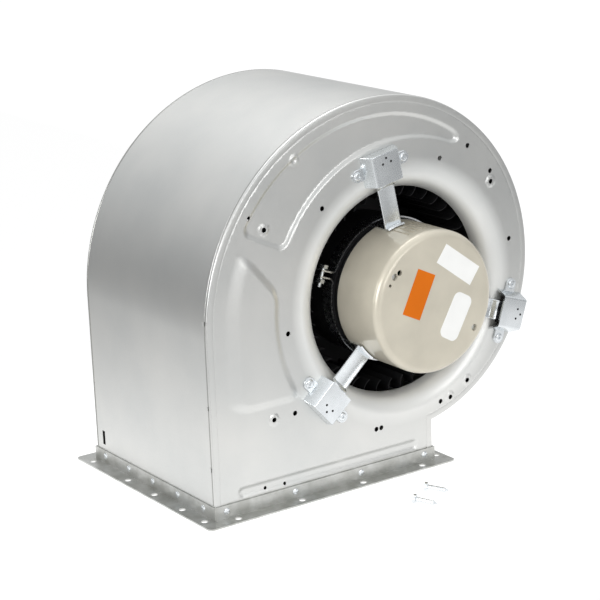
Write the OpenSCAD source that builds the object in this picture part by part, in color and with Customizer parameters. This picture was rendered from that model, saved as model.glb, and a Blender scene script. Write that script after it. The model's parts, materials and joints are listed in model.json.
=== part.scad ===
// Double-inlet direct-drive centrifugal blower: a sheet-steel scroll housing on an outlet flange,
// a forward-curved wheel, and an electronically commutated motor carried by three arms
// in the front inlet.
// +X points from the flat back of the scroll to the cut-off side, the motor side faces -Y, +Z is up.
// The origin is the centre of the outlet flange, on its underside.

/* [Housing] */
// Depth of the housing over its folded seams
housing_w = 232; // [224:1:250]
// Outside width of the outlet neck
neck_w = 266; // [262:1:280]
// Height of the shaft above the flange's underside
shaft_z = 185; // [182:1:190]
// Distance of the shaft from the centre of the scroll's first quarter, along X
shaft_shift = 27; // [25:1:29]
// Distance from the inlet's edge to the outside of the scroll's first quarter
scroll_room = 82; // [80:1:86]
// Drop of the scroll's first arc centre below the shaft
scroll_drop = 5; // [2:1:8]
// Loss of radius from the first arc of the scroll to the second
scroll_step_up = 21; // [18:1:24]
// Loss of radius from the second arc of the scroll to the third
scroll_step_side = 27; // [26:1:32]
// Sheet thickness of the wrap
sheet_t = 1.2; // [0.8:0.1:1.5]
// Sheet thickness of the side plates
plate_t = 1.2; // [0.8:0.1:1.5]
// Width of the wrap's edge folded over each side plate
seam_w = 7; // [5:0.5:8]

/* [Inlets] */
// Radius of each inlet where the bell leaves the side plate
bell_r = 126; // [124:1:128]
// Radius of curvature of the inlet bell
bell_curve = 20; // [18:1:20]

/* [Pressed panels] */
// Height of the pressed panels
panel_h = 2; // [1:0.5:3]
// Distance from the inlet's edge to the pressed panels
panel_room = 32; // [30:1:36]
// Distance from the scroll's outside to the top panel
panel_inset = 19; // [16:1:22]
// Drop of the left panel's lower edge below the shaft
panel_drop = 80; // [74:1:86]
// Height of the groove above the flange
groove_z = 22.5; // [21:0.5:25]
// Width of that groove
groove_w = 9; // [7:0.5:10]
// Length of that groove between its round ends
groove_len = 208; // [190:1:214]

/* [Outlet flange] */
// Width of the flange's lip beyond the neck
lip = 17; // [15:1:20]
// Height of the flange's upright leg
leg_h = 15; // [13:1:15]
// Thickness of the flange angle
flange_t = 1.5; // [1.2:0.1:2]
// Radius of the flange's bolt holes
flange_hole_r = 3.5; // [3:0.1:4]
// Distance between the outer bolt holes of the front and back lips
long_pitch = 225; // [210:1:230]
// Distance between the inner bolt holes of the front and back lips
short_pitch = 75; // [60:1:90]
// Distance between the corner holes of the side lips
side_pitch = 220; // [212:1:222]
// Distance between the three middle holes of the side lips
middle_pitch = 53; // [50:1:56]
// Offset of the three middle holes towards the motor side
middle_shift = 16; // [12:1:18]

/* [Wheel] */
// Outside radius of the wheel
wheel_r = 120; // [116:1:120]
// Width of the wheel over its end rings
wheel_w = 184; // [176:1:186]
// Number of blades
blades = 42; // [30:1:44]
// Blade thickness
blade_t = 0.8; // [0.6:0.1:1]
// Radius of the blade's curve
blade_curve = 13; // [12:0.5:13]
// Thickness of the centre disc
disc_t = 1.5; // [1:0.1:2]
// Radius of the hub barrel
hub_r = 15; // [14:0.5:17]
// Length of the hub barrel
hub_l = 32; // [28:1:36]

/* [Motor] */
// Outside radius of the motor
motor_r = 72.5; // [71:0.5:74]
// Distance that the motor stands out of the side plate
motor_out = 49; // [46:1:54]
// Length of the motor, cover to rear shell
motor_l = 125; // [122:1:128]
// Wall of the motor's cover and shells
motor_t = 2.5; // [2:0.1:3]
// Radius of the rounded edge of the cover
motor_edge = 7; // [5:0.5:8]
// Length of the front cover
cover_l = 64; // [62:1:66]
// Length of the stator core
core_l = 40; // [38:1:42]
// Length of bare core between the cover and the rear shell
core_gap = 8; // [6:0.5:10]
// Shaft radius
shaft_r = 6; // [5.5:0.1:6.4]
// Gap between rotor and stator
air_gap = 1; // [0.6:0.1:1.4]

/* [Motor mounting] */
// Direction of the first arm, counter-clockwise from +X seen from the motor side
arm_angle = 101.5; // [95:0.5:105]
// Width of an arm
arm_w = 20; // [17:0.5:22]
// Thickness of an arm
arm_t = 2; // [1.5:0.1:2]
// Gap between an arm and the side plate
arm_lift = 2; // [1.5:0.1:3]
// Step of an arm up into its isolator
arm_step = 5; // [4:0.5:5]
// Reach of a bracket over the inlet's edge
bracket_over = 5; // [3:0.5:6]
// Length of a bracket along its arm
bracket_l = 31; // [30:0.5:32]
// Width of a bracket's bridge
bracket_w = 32; // [30:1:36]
// Distance between the two rivets of a bracket
foot_pitch = 57; // [55:1:59]
// Clear height under a bracket's bridge
bracket_h = 12; // [11:0.5:13]
// Sheet thickness of a bracket
bracket_t = 2; // [1.5:0.1:2.5]
// Width of a bracket's foot
foot_w = 13; // [12:0.5:14]
// Width of the clamping band
band_w = 14; // [12:0.5:15]
// Thickness of the clamping band
band_t = 1.5; // [1.2:0.1:2]
// Direction of the band's split
band_angle = 160; // [150:1:165]

/* [Hidden] */

// Facets of round shapes, and the overlap that cuts use to break through
fine = 96;
cut = 1;
// Clearance between parts that slip into each other
slip = 0.1;

// Housing planes and centres
half_w = housing_w / 2;
plate_y = -half_w;
rim_y = plate_y + sheet_t;
scroll_r = bell_r + scroll_room;
arc_a = [scroll_r - neck_w / 2, shaft_z - scroll_drop];
shaft_x = arc_a[0] + shaft_shift;
arc_b = arc_a + [0, scroll_step_up];
arc_c = arc_b + [scroll_step_side, 0];
arc_b_r = scroll_r - scroll_step_up;
arc_c_r = arc_b_r - scroll_step_side;

// Pressed panels: from and to angles about the shaft
panel_r = bell_r + panel_room;
panel_low = shaft_z - panel_drop;
top_panel = [64, 154];
left_panel = [163, 211];
left_inset = 26;

// Holes of the side plates: a circle of three beside the arms, then single ones,
// each as distance from the inlet's edge and angle
hole_r = 2.6;
ring_out = 15;
ring_r = bell_r + ring_out;
ring_turn = 32;
single_holes = [[83.8, 149.6], [62.0, 150.7], [73.6, 129.5], [35.6, 58.7], [30.3, 43.7],
    [22.9, 40.6], [42.1, -145.2], [63.7, -149.2], [13.2, -104.1], [5.2, -70.9],
    [7.8, -65.5], [7.5, -54.2], [13.1, 69.8], [17.0, -174.3]];
groove_shift = 4;
groove_holes = [[-74, 20.5], [-51, 19.5]];
groove_hole_r = 1.8;
slit = [5, 15];
slit_from_rear = 19;
slit_z = 20;

// Cut-off
nose_r = 5.6;
nose_reach = 10;
nose_x = arc_a[0] + scroll_step_side - nose_reach;
cutoff_flange = 16;

// Rivets
rivet_r = 2.4;
rivet_head = [4.5, 1.3];
rivet_hole_r = 1.4;
lip_corner = 5;
leg_rivet_z = 9;
leg_rivet_r = 2;
leg_rivet_head = [3.4, 0.9];
side_rivet_inset = 20;
side_rivet_y = [for (i = [-2:2]) i / 2 * (housing_w / 2 - side_rivet_inset)];
front_rivet_inset = 12;
front_rivet_x = [for (i = [-3, -1, 1, 3]) i / 3 * (neck_w / 2 - front_rivet_inset)];
clinch_z = [52, 114, 198];
clinch = [2.4, 4.5, 0.8];

// Wheel
half_wheel = wheel_w / 2;
ring_t = 0.8;
ring_depth = 7;
ring_lip = 11;
ring_in = wheel_r - ring_lip;
blade_out = wheel_r - ring_t - slip;
blade_from = -10;
blade_to = -145;
blade_centre = blade_out - blade_curve - blade_t / 2;
disc_inset = 6;
disc_r = wheel_r - disc_inset;
hub_flange_r = 30;
hub_flange_t = 3;
hub_rivet_pcr = 22.5;
hub_rivets_n = 6;
set_screw_r = 4;
set_screw_y = -9;
set_screw_hex = [2.2, 4];
hub_rivet_head = 1.5;

// Motor planes along Y
motor_front = plate_y - motor_out;
motor_rear = motor_front + motor_l;
cover_rear = motor_front + cover_l;
shell_front = cover_rear + core_gap;
core_mid = (cover_rear + shell_front) / 2;
core_shift = 4;
core_front = core_mid - core_l / 2 - core_shift;
core_rear = core_front + core_l;
core_r = motor_r - motor_t;
slots = 12;
bore_r = 42;
slot_out = 60;
tooth_w = 8;
slot_mouth = 3;
tip_t = 3;
coil_t = 6.5;
coil_over = 4;
coil_in = 48;
coil_out = 58;
coil_clear = 0.5;
rotor_r = bore_r - air_gap;
magnet_t = 4;
poles = 8;
magnet_gap = 6;

// Bearings (12 x 32 x 10 deep-groove)
bearing_w = 10;
bearing_out = 16;
race_t = 2.6;
ball_r = 2.95;
ball_track = 3.05;
balls = 7;
cage_t = 1.2;
track_r = (bearing_out + shaft_r) / 2;
shield_t = 3;
shield_gap = 10;
tap_l = 6;
tap_end = 2;
skirt_t = 6;
boss_t = 4;
bearing_inset = 13;
bearing_gap = 16;
front_bearing = core_front - bearing_gap;
rear_bearing = motor_rear - bearing_inset;
board_t = 1.6;
board_y = front_bearing - bearing_gap;
board_r = 64;
post_r = 3.5;
post_pcr = 56;
capacitor_angles = [54, 84, 174];
capacitor = [42, 8, 18];
module_angle = 234;
module_from = [28, -16];
module_size = [26, 8, 32];
posts = [60, 180, 300];
face_hole_r = 60;
face_holes = [144.5, 324.5];
cover_screw_r = 1.9;
cover_screw_head = [3.2, 2.6];
cover_screw_depth = 6;
screw_boss_r = 5.5;
spare_holes = [[57.3, 138.5, 2.8], [61, 153.5, 1.6]];
fin_angles = [66:5:106];
fin_slot = [0.8, 34, 1.8];
fin_from = 14;
shaft_past = [9, 6];
shaft_clear = 2;
shaft_front = front_bearing - shaft_past[0];
shaft_rear = hub_l / 2 + shaft_past[1];

// Motor mounting
arms = [arm_angle, arm_angle + 120, arm_angle + 240];
saddle_over = 9;
saddle_front = plate_y - saddle_over;
saddle_rear = shell_front + band_w;
saddle_r = motor_r + arm_t;
bracket_in = bell_r - bracket_over;
foot_from = 15;
tongue_inset = 6;
tongue_end = bracket_in + bracket_l - tongue_inset;
isolator_w = bracket_w - 2 * bracket_t;
isolator_from = 6;
isolator_to = bracket_t;
ear_h = 16;
ear_gap = 8;
ear_bolt_at = 0.62;
band_bolt_r = 2.5;
band_head_h = 3.5;
band_nut_h = 4;
band_hex_r = 4.6;
foot_hole_v = foot_pitch / 2;
leg_foot_v = foot_hole_v - foot_w / 2;
leg_slope = (leg_foot_v - bracket_w / 2) / (bracket_h + bracket_t);
leg_t = 1.1 * bracket_t;
foot_hole_u = bracket_in + foot_from;
dimple_r = 1.2;
dimple_at = [[21, -5], [21, 5], [26, 0]];

// Labels on the motor's face: centre, size, angle
label_t = 0.2;
label_corner = 7;
orange_at = [-20, 12, 23, 47, -26];
upper_at = [29.5, 33.5, 51, 21, -36.5];
lower_at = [25.5, -19, 24, 48, -30];

// Loose fixing screws on the floor: head position from the shaft and the side plate, direction
screw_at = [[-30, -64, -53], [-59, -83, -57]];
screw_r = 2.4;
screw_l = 21.5;
screw_head = [4.75, 3];
screw_tip = [0.6, 4];

galvanised = [0.80, 0.81, 0.79];
zinc = [0.88, 0.89, 0.90];
beige = [0.72, 0.71, 0.64];
dark = [0.16, 0.16, 0.17];
rubber = [0.08, 0.08, 0.08];
copper = [0.72, 0.43, 0.25];

// Extrudes a shape drawn in X and Z from y0 to y1
module prism(y0, y1) {
    translate([0, y1, 0]) rotate([90, 0, 0]) linear_extrude(height = y1 - y0) children();
}

// Moves children to the shaft
module at_shaft() {
    translate([shaft_x, 0, shaft_z]) children();
}

// Turns a profile of radius and Y about the shaft
module turned() {
    at_shaft() rotate([-90, 0, 0]) rotate_extrude($fn = fine) children();
}

// Round bar along Y from y0 to y1
module bar(y0, y1, r) {
    translate([0, y0, 0]) rotate([-90, 0, 0]) cylinder(h = y1 - y0, r = r, $fn = fine);
}

// Frame at angle a about the shaft: X is radial, Z is counter-clockwise, Y is the housing's depth
module around(a) {
    at_shaft() rotate([0, -a, 0]) children();
}

// The same frame with its Y at the side plate's outer face; lift goes outwards
module on_plate(a) {
    translate([0, plate_y, 0]) around(a) children();
}

// Box in such a frame, from [u, lift, v] and of size [du, dlift, dv]
module slab(from, size) {
    translate([from[0], -from[1] - size[1], from[2]]) cube(size);
}

module quarter(centre, r, start) {
    translate(centre) intersection() {
        circle(r, $fn = fine);
        rotate(start) square(r + cut);
    }
}

// Scroll and neck outline, inset from the outside, open below by drop
module scroll_2d(inset = 0, drop = 0) {
    side = neck_w / 2 - inset;
    quarter(arc_a, scroll_r - inset, 90);
    quarter(arc_b, arc_b_r - inset, 0);
    translate(arc_c) circle(arc_c_r - inset, $fn = fine);
    translate([-side, -drop]) square([2 * side, arc_a[1] + drop]);
    translate([arc_a[0] - cut, 0]) square([side - arc_a[0] + cut, arc_b[1]]);
}

// Sector about the shaft between two angles less than 180 degrees apart
module sector_2d(from, to, r) {
    mid = (from + to) / 2;
    reach = r / cos((to - from) / 4);
    translate([shaft_x, shaft_z])
        polygon([[0, 0], for (a = [from, (from + mid) / 2, mid, (mid + to) / 2, to])
            reach * [cos(a), sin(a)]]);
}

// Pressed panel above the inlet, shrunk by d
module top_panel_2d(d = 0) {
    difference() {
        intersection() {
            scroll_2d(panel_inset + d);
            sector_2d(top_panel[0] + d / 2, top_panel[1] - d / 2, scroll_r * 2);
        }
        translate([shaft_x, shaft_z]) circle(panel_r + d, $fn = fine);
    }
}

// Pressed panel left of the inlet, shrunk by d
module left_panel_2d(d = 0) {
    difference() {
        intersection() {
            scroll_2d(left_inset + d);
            sector_2d(left_panel[0] + d / 2, left_panel[1], scroll_r * 2);
            translate([-neck_w, panel_low + d]) square(neck_w * 2);
        }
        translate([shaft_x, shaft_z]) circle(panel_r - panel_h + d, $fn = fine);
    }
}

// Round-ended groove above the flange, shrunk by d
module groove_2d(d = 0) {
    reach = groove_len / 2;
    translate([groove_shift, groove_z]) {
        square([2 * reach, groove_w - 2 * d], center = true);
        for (s = [-1, 1]) translate([s * reach, 0]) circle(groove_w / 2 - d, $fn = fine / 2);
    }
}

// Holes of a side plate
module plate_holes(arms_side) {
    translate([shaft_x, shaft_z]) {
        for (a = arms) {
            rotate(a + ring_turn) translate([ring_r, 0]) circle(hole_r, $fn = 24);
            if (arms_side) for (s = [-1, 1])
                rotate(a) translate([foot_hole_u, s * foot_hole_v]) circle(rivet_r, $fn = 24);
        }
        for (h = single_holes) rotate(h[1]) translate([bell_r + h[0], 0]) circle(hole_r, $fn = 24);
    }
    for (x = front_rivet_x) translate([x, leg_rivet_z]) circle(leg_rivet_r, $fn = 24);
    for (p = groove_holes) translate(p) circle(groove_hole_r, $fn = 24);
}

// Quarter ring of sheet that turns the side plate inwards into the inlet
module bell() {
    turned() translate([bell_r, plate_y + bell_curve]) difference() {
        intersection() {
            circle(bell_curve, $fn = fine);
            translate([-bell_curve - cut, -bell_curve - cut]) square(bell_curve + cut);
        }
        circle(bell_curve - plate_t, $fn = fine);
    }
}

module side_plate(arms_side) {
    back_y = plate_y + plate_t;
    difference() {
        union() {
            prism(plate_y, back_y) difference() {
                scroll_2d(seam_w + slip);
                translate([shaft_x, shaft_z]) circle(bell_r, $fn = fine);
            }
            prism(rim_y, rim_y + plate_t) difference() {
                scroll_2d(sheet_t + slip);
                scroll_2d(seam_w + slip + plate_t, cut);
            }
            prism(plate_y - panel_h, back_y) left_panel_2d();
            prism(plate_y, back_y + panel_h) {
                top_panel_2d(-plate_t);
                groove_2d(-plate_t);
            }
            bell();
        }
        prism(plate_y - panel_h + plate_t, back_y + cut) left_panel_2d(plate_t);
        prism(plate_y - cut, plate_y + panel_h) {
            top_panel_2d();
            groove_2d();
        }
        prism(plate_y - panel_h - cut, back_y + panel_h + cut) plate_holes(arms_side);
    }
}

module scroll_wrap() color(galvanised) difference() {
    prism(-half_w, half_w) scroll_2d();
    prism(rim_y, -rim_y) scroll_2d(sheet_t, cut);
    prism(-half_w - cut, half_w + cut) scroll_2d(seam_w, cut);
    translate([-neck_w / 2 - cut, half_w - slit_from_rear, slit_z])
        cube([sheet_t + 2 * cut, slit[0], slit[1]]);
    for (y = side_rivet_y, s = [-1, 1]) leg_bore(s * neck_w / 2, y);
}

// Bore for a flange rivet through a neck wall
module leg_bore(x, y) {
    translate([x, y, leg_rivet_z]) rotate([0, 90, 0])
        cylinder(h = 4 * sheet_t + 2 * flange_t, r = leg_rivet_r, center = true, $fn = 24);
}

module motor_side_plate() color(galvanised) side_plate(true);

module rear_side_plate() color(galvanised) mirror([0, 1, 0]) side_plate(false);

// Folded cut-off: it carries on the scroll's last arc into the throat and folds back to the wall
module cutoff_plate() color(galvanised) {
    wall_x = neck_w / 2 - sheet_t - slip;
    top = arc_c[1] - arc_c_r + sheet_t;
    prism(rim_y + plate_t + slip, -rim_y - plate_t - slip) {
        intersection() {
            translate(arc_c) difference() {
                circle(arc_c_r, $fn = fine);
                circle(arc_c_r - sheet_t, $fn = fine);
            }
            translate([arc_c[0], 0]) square([wall_x - arc_c[0], shaft_z / 2]);
        }
        translate([nose_x, top - sheet_t]) square([arc_c[0] - nose_x, sheet_t]);
        intersection() {
            translate([nose_x, top - nose_r]) difference() {
                circle(nose_r, $fn = fine / 2);
                circle(nose_r - sheet_t, $fn = fine / 2);
            }
            translate([nose_x - 2 * nose_r, 0]) square([2 * nose_r, shaft_z]);
        }
        translate([nose_x, top - 2 * nose_r]) square([wall_x - nose_x, sheet_t]);
        translate([wall_x - sheet_t, top - 2 * nose_r - cutoff_flange])
            square([sheet_t, cutoff_flange + sheet_t]);
    }
}

// Angle along X at the front, with its bolt holes and rivet bores
module flange_long() {
    length = neck_w + 2 * lip;
    difference() {
        union() {
            translate([-length / 2, -half_w - lip + lip_corner, 0])
                cube([length, lip - lip_corner, flange_t]);
            translate([-length / 2 + lip_corner, -half_w - lip, 0])
                cube([length - 2 * lip_corner, lip, flange_t]);
            for (s = [-1, 1]) translate([s * (length / 2 - lip_corner), -half_w - lip + lip_corner, 0])
                cylinder(h = flange_t, r = lip_corner, $fn = fine);
            translate([-neck_w / 2 - flange_t, -half_w - flange_t, 0])
                cube([neck_w + 2 * flange_t, flange_t, leg_h]);
        }
        for (p = [long_pitch, short_pitch], s = [-1, 1])
            translate([s * p / 2, -half_w - lip / 2, -cut])
                cylinder(h = flange_t + 2 * cut, r = flange_hole_r, $fn = 24);
        for (x = front_rivet_x) translate([x, 0, leg_rivet_z])
            bar(-half_w - flange_t - cut, -half_w + cut, leg_rivet_r);
    }
}

// Angle along Y at the left, between the long ones
module flange_short() {
    length = housing_w;
    side_x = -neck_w / 2;
    difference() {
        union() {
            translate([side_x - lip, -length / 2, 0]) cube([lip, length, flange_t]);
            translate([side_x - flange_t, -length / 2, 0]) cube([flange_t, length, leg_h]);
        }
        for (y = [side_pitch / 2, -side_pitch / 2,
                for (i = [-1:1]) i * middle_pitch - middle_shift])
            translate([side_x - lip / 2 - flange_t / 2, y, -cut])
                cylinder(h = flange_t + 2 * cut, r = flange_hole_r, $fn = 24);
        for (y = side_rivet_y) leg_bore(side_x, y);
    }
}

module flange_front() color(galvanised) flange_long();

module flange_back() color(galvanised) mirror([0, 1, 0]) flange_long();

module flange_left() color(galvanised) flange_short();

module flange_right() color(galvanised) mirror([1, 0, 0]) flange_short();

// Rivet along +X whose head sits at x = 0 outside, to the left
module flange_rivet(grip) {
    rotate([0, 90, 0]) {
        translate([0, 0, -leg_rivet_head[1]])
            cylinder(h = leg_rivet_head[1], r = leg_rivet_head[0], $fn = 32);
        cylinder(h = grip, r = leg_rivet_r, $fn = 24);
    }
}

module flange_rivets() color(zinc) for (s = [0, 1]) {
    mirror([s, 0, 0]) for (y = side_rivet_y) translate([-neck_w / 2 - flange_t, y, leg_rivet_z])
        flange_rivet(flange_t + sheet_t);
    mirror([0, s, 0]) for (x = front_rivet_x) translate([x, -half_w - flange_t, leg_rivet_z])
        rotate([0, 0, 90]) flange_rivet(flange_t + plate_t);
}

// Clinched spots where the seam's edge is locked on the flat side
module seam_clinches() color(zinc) for (z = clinch_z)
    translate([-neck_w / 2 - clinch[2], -half_w + 3, z - clinch[1] / 2])
        cube([clinch[2], clinch[0], clinch[1]]);

// Arm: saddle on the motor, radial strap, step up and tongue
module arm(a) color(zinc) {
    tongue_lift = arm_lift + arm_step;
    half_saddle = asin(arm_w / 2 / motor_r);
    around(a) difference() {
        rotate([-90, 0, 0]) translate([0, 0, saddle_front])
            cylinder(h = saddle_rear - saddle_front, r = saddle_r, $fn = fine);
        rotate([-90, 0, 0]) translate([0, 0, saddle_front - cut])
            cylinder(h = saddle_rear - saddle_front + 2 * cut, r = motor_r, $fn = fine);
        translate([-2 * motor_r, saddle_front - cut, -2 * motor_r])
            cube([2 * motor_r, saddle_rear - saddle_front + 2 * cut, 4 * motor_r]);
        for (s = [0, 1]) mirror([0, 0, s]) translate([-cut, saddle_front - cut, arm_w / 2])
            cube([2 * motor_r, saddle_rear - saddle_front + 2 * cut, 2 * motor_r]);
    }
    on_plate(a) {
        slab([motor_r * cos(half_saddle) + arm_t / 2, arm_lift, -arm_w / 2],
            [bracket_in - arm_t - motor_r * cos(half_saddle) - arm_t / 2, arm_t, arm_w]);
        slab([bracket_in - 2 * arm_t, arm_lift, -arm_w / 2], [arm_t, arm_step + arm_t, arm_w]);
        slab([bracket_in - 2 * arm_t, tongue_lift, -arm_w / 2],
            [tongue_end - bracket_in + 2 * arm_t, arm_t, arm_w]);
    }
}

module arm_top() arm(arms[0]);

module arm_lower() arm(arms[1]);

module arm_right() arm(arms[2]);

// Bridge over the isolator: sloping legs across its length, a wall at the outer end,
// then a round foot on each side
module bracket(a) color(zinc) on_plate(a) difference() {
    union() {
        inner_v = bracket_w / 2 + leg_slope * bracket_t - leg_t;
        translate([bracket_in, 0, 0]) rotate([180, -90, 0]) linear_extrude(bracket_l)
            polygon([[-leg_foot_v, 0], [leg_t - leg_foot_v, 0], [-inner_v, bracket_h],
                [inner_v, bracket_h], [leg_foot_v - leg_t, 0], [leg_foot_v, 0],
                [bracket_w / 2, bracket_h + bracket_t], [-bracket_w / 2, bracket_h + bracket_t]]);
        translate([bracket_in + bracket_l - bracket_t, 0, 0]) rotate([180, -90, 0])
            linear_extrude(bracket_t) polygon([[-leg_foot_v, 0], [leg_foot_v, 0],
                [bracket_w / 2, bracket_h + bracket_t], [-bracket_w / 2, bracket_h + bracket_t]]);
        for (s = [0, 1]) mirror([0, 0, s]) {
            slab([foot_hole_u - foot_w / 2, 0, leg_foot_v - leg_t],
                [foot_w, bracket_t, foot_w / 2 + leg_t]);
            translate([foot_hole_u, 0, foot_hole_v]) bar(-bracket_t, 0, foot_w / 2);
        }
    }
    for (s = [-1, 1]) translate([foot_hole_u, 0, s * foot_hole_v]) bar(-bracket_t - cut, cut, rivet_r);
    for (p = dimple_at) translate([bracket_in + p[0], 0, p[1]])
        bar(-bracket_h - bracket_t - cut, -bracket_h + cut, dimple_r);
}

module bracket_top() bracket(arms[0]);

module bracket_lower() bracket(arms[1]);

module bracket_right() bracket(arms[2]);

// Rubber block that grips the tongue between the side plate and the bridge
module isolator(a) color(rubber) on_plate(a) difference() {
    slab([bracket_in + isolator_from, 0, -isolator_w / 2],
        [bracket_l - isolator_from - isolator_to, bracket_h, isolator_w]);
    slab([bracket_in, arm_lift + arm_step, -arm_w / 2], [tongue_end - bracket_in, arm_t, arm_w]);
}

module isolator_top() isolator(arms[0]);

module isolator_lower() isolator(arms[1]);

module isolator_right() isolator(arms[2]);

// Hollow rivets of the bracket feet
module bracket_rivets() color(zinc) for (a = arms, s = [-1, 1]) on_plate(a)
    translate([foot_hole_u, 0, s * foot_hole_v]) difference() {
        union() {
            bar(-bracket_t - rivet_head[1], -bracket_t, rivet_head[0]);
            bar(-bracket_t, plate_t + 2, rivet_r);
        }
        bar(-bracket_t - rivet_head[1] - cut, plate_t, rivet_hole_r);
    }

// Open band over the three saddles, closed by a bolt through its ears
module clamping_band() color(zinc) difference() {
    union() {
        turned() translate([saddle_r + slip / 2, shell_front]) square([band_t, band_w]);
        around(band_angle) for (s = [0, 1]) mirror([0, 0, s])
            translate([saddle_r, shell_front, ear_gap / 2])
                cube([ear_h, band_w, band_t]);
    }
    around(band_angle) translate([0, shell_front - cut, -ear_gap / 2])
        cube([saddle_r + ear_h, band_w + 2 * cut, ear_gap]);
    around(band_angle) translate([ear_bolt_u(), shell_front + band_w / 2, -ear_gap])
        cylinder(h = 2 * ear_gap, r = band_bolt_r + slip, $fn = 32);
}

function ear_bolt_u() = saddle_r + ear_h * ear_bolt_at;

module band_bolt() color(zinc)
    around(band_angle) translate([ear_bolt_u(), shell_front + band_w / 2, 0]) {
        low = -ear_gap / 2 - band_t;
        translate([0, 0, low])
            cylinder(h = ear_gap + 2 * band_t + 2 * band_nut_h, r = band_bolt_r, $fn = 32);
        translate([0, 0, low - band_head_h]) cylinder(h = band_head_h, r = band_hex_r, $fn = 6);
    }

module band_nut() color(zinc)
    around(band_angle) translate([ear_bolt_u(), shell_front + band_w / 2, ear_gap / 2 + band_t])
        difference() {
            cylinder(h = band_nut_h, r = band_hex_r, $fn = 6);
            translate([0, 0, -cut]) cylinder(h = band_nut_h + 2 * cut, r = band_bolt_r, $fn = 32);
        }

// Filled cup profile from y0 to y1 with a rounded edge at y0
module cup_2d(r, y0, y1, edge) {
    translate([0, y0 + edge]) square([r, y1 - y0 - edge]);
    translate([0, y0]) square([r - edge, edge + cut]);
    translate([r - edge, y0 + edge]) circle(edge, $fn = fine);
}

module motor_cover() color(beige) difference() {
    union() {
        turned() intersection() {
            difference() {
                cup_2d(motor_r, motor_front, cover_rear, motor_edge);
                cup_2d(core_r, motor_front + motor_t, cover_rear + cut, motor_edge - motor_t);
            }
            translate([0, motor_front - cut]) square([motor_r + cut, cover_l + 2 * cut]);
        }
        for (a = face_holes) around(a) translate([face_hole_r, 0, 0])
            bar(motor_front + 1, board_y - board_t - 2, screw_boss_r);
    }
    for (a = face_holes) around(a) translate([face_hole_r, 0, 0]) {
        bar(motor_front - cut, motor_front + cover_screw_depth, post_r);
        bar(motor_front, board_y, cover_screw_r + slip);
    }
    for (h = spare_holes) around(h[1]) translate([h[0], 0, 0])
        bar(motor_front - cut, motor_front + motor_t + cut, h[2]);
    for (a = fin_angles) around(a)
        translate([motor_r - fin_slot[0], motor_front + fin_from, -fin_slot[2] / 2])
            cube([2 * fin_slot[0], fin_slot[1], fin_slot[2]]);
}

module cover_screws() color(zinc) for (a = face_holes) around(a) translate([face_hole_r, 0, 0]) {
    seat = motor_front + cover_screw_depth;
    bar(seat - cover_screw_head[1], seat, cover_screw_head[0]);
    bar(seat, core_front - shield_gap, cover_screw_r);
}

// Disc behind the electronics that carries the front bearing, board posts and cover screws
module front_shield() color(zinc) difference() {
    union() {
        turned() {
            translate([bearing_out, core_front - shield_gap]) square([core_r - slip - bearing_out, shield_t]);
            translate([core_r - skirt_t, core_front - shield_gap]) square([skirt_t - slip, shield_gap]);
            translate([bearing_out, front_bearing - bearing_w / 2])
                square([boss_t, core_front - shield_gap - front_bearing + bearing_w / 2 + shield_t]);
        }
        for (a = posts) around(a) translate([post_pcr, 0, 0])
            bar(board_y, core_front - shield_gap + cut, post_r);
        for (a = face_holes) around(a) translate([face_hole_r, 0, 0])
            bar(core_front - shield_gap + tap_end - tap_l, core_front - shield_gap + cut, post_r);
    }
    for (a = face_holes) around(a) translate([face_hole_r, 0, 0])
        bar(core_front - shield_gap + tap_end - tap_l - cut, core_front - shield_gap + tap_end,
            cover_screw_r + slip);
}

module rear_shell() color(dark) turned() {
    difference() {
        translate([bearing_out, shell_front]) square([motor_r - bearing_out, motor_rear - shell_front]);
        translate([0, shell_front - cut]) square([core_r, motor_rear - shell_front - motor_t + cut]);
    }
    translate([bearing_out, rear_bearing - bearing_w / 2])
        square([boss_t, motor_rear - rear_bearing + bearing_w / 2]);
    translate([shaft_r + 2 * shaft_clear, motor_rear - motor_t])
        square([bearing_out - shaft_r - 2 * shaft_clear + cut, motor_t]);
}

module stator_core() color(dark) prism(core_front, core_rear)
    translate([shaft_x, shaft_z]) difference() {
        circle(core_r, $fn = fine);
        circle(bore_r, $fn = fine);
        for (i = [0:slots - 1]) rotate(i * 360 / slots) slot_2d();
    }

// One winding slot, centred on +X
module slot_2d() {
    half = 180 / slots;
    intersection() {
        difference() {
            circle(slot_out, $fn = fine);
            circle(bore_r + tip_t, $fn = fine);
        }
        translate([tooth_w / 2 / sin(half), 0]) polygon([[0, 0],
            [slot_out * cos(half), slot_out * sin(half)], [slot_out * 2, 0],
            [slot_out * cos(half), -slot_out * sin(half)]]);
    }
    translate([bore_r - cut, -slot_mouth / 2]) square([tip_t + 3 * cut, slot_mouth]);
}

// One coil round each tooth
module stator_coils() color(copper) for (i = [0:slots - 1]) around((i + 0.5) * 360 / slots)
    difference() {
        translate([coil_in, core_front - coil_over, -tooth_w / 2 - coil_t])
            cube([coil_out - coil_in, core_l + 2 * coil_over, tooth_w + 2 * coil_t]);
        translate([bore_r, core_front, -tooth_w / 2]) cube([slot_out - bore_r, core_l, tooth_w]);
        for (s = [0, 1]) mirror([0, 0, s]) rotate([0, -180 / slots, 0])
            translate([0, core_front - 2 * coil_over, -coil_clear])
                cube([slot_out * 2, core_l * 2, 2 * coil_t]);
    }

module control_board() color([0.1, 0.32, 0.2]) difference() {
    at_shaft() bar(board_y - board_t, board_y, board_r);
    at_shaft() bar(board_y - board_t - cut, board_y + cut, shaft_r + shaft_clear);
    for (a = face_holes) around(a) translate([face_hole_r, 0, 0])
        bar(board_y - board_t - cut, board_y + cut, screw_boss_r + slip);
}

module board_capacitors() color(dark) for (a = capacitor_angles)
    around(a) translate([capacitor[0], 0, 0]) bar(board_y, board_y + capacitor[2], capacitor[1]);

module power_module() color(dark) around(module_angle)
    translate([module_from[0], board_y, module_from[1]]) cube(module_size);

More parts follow.
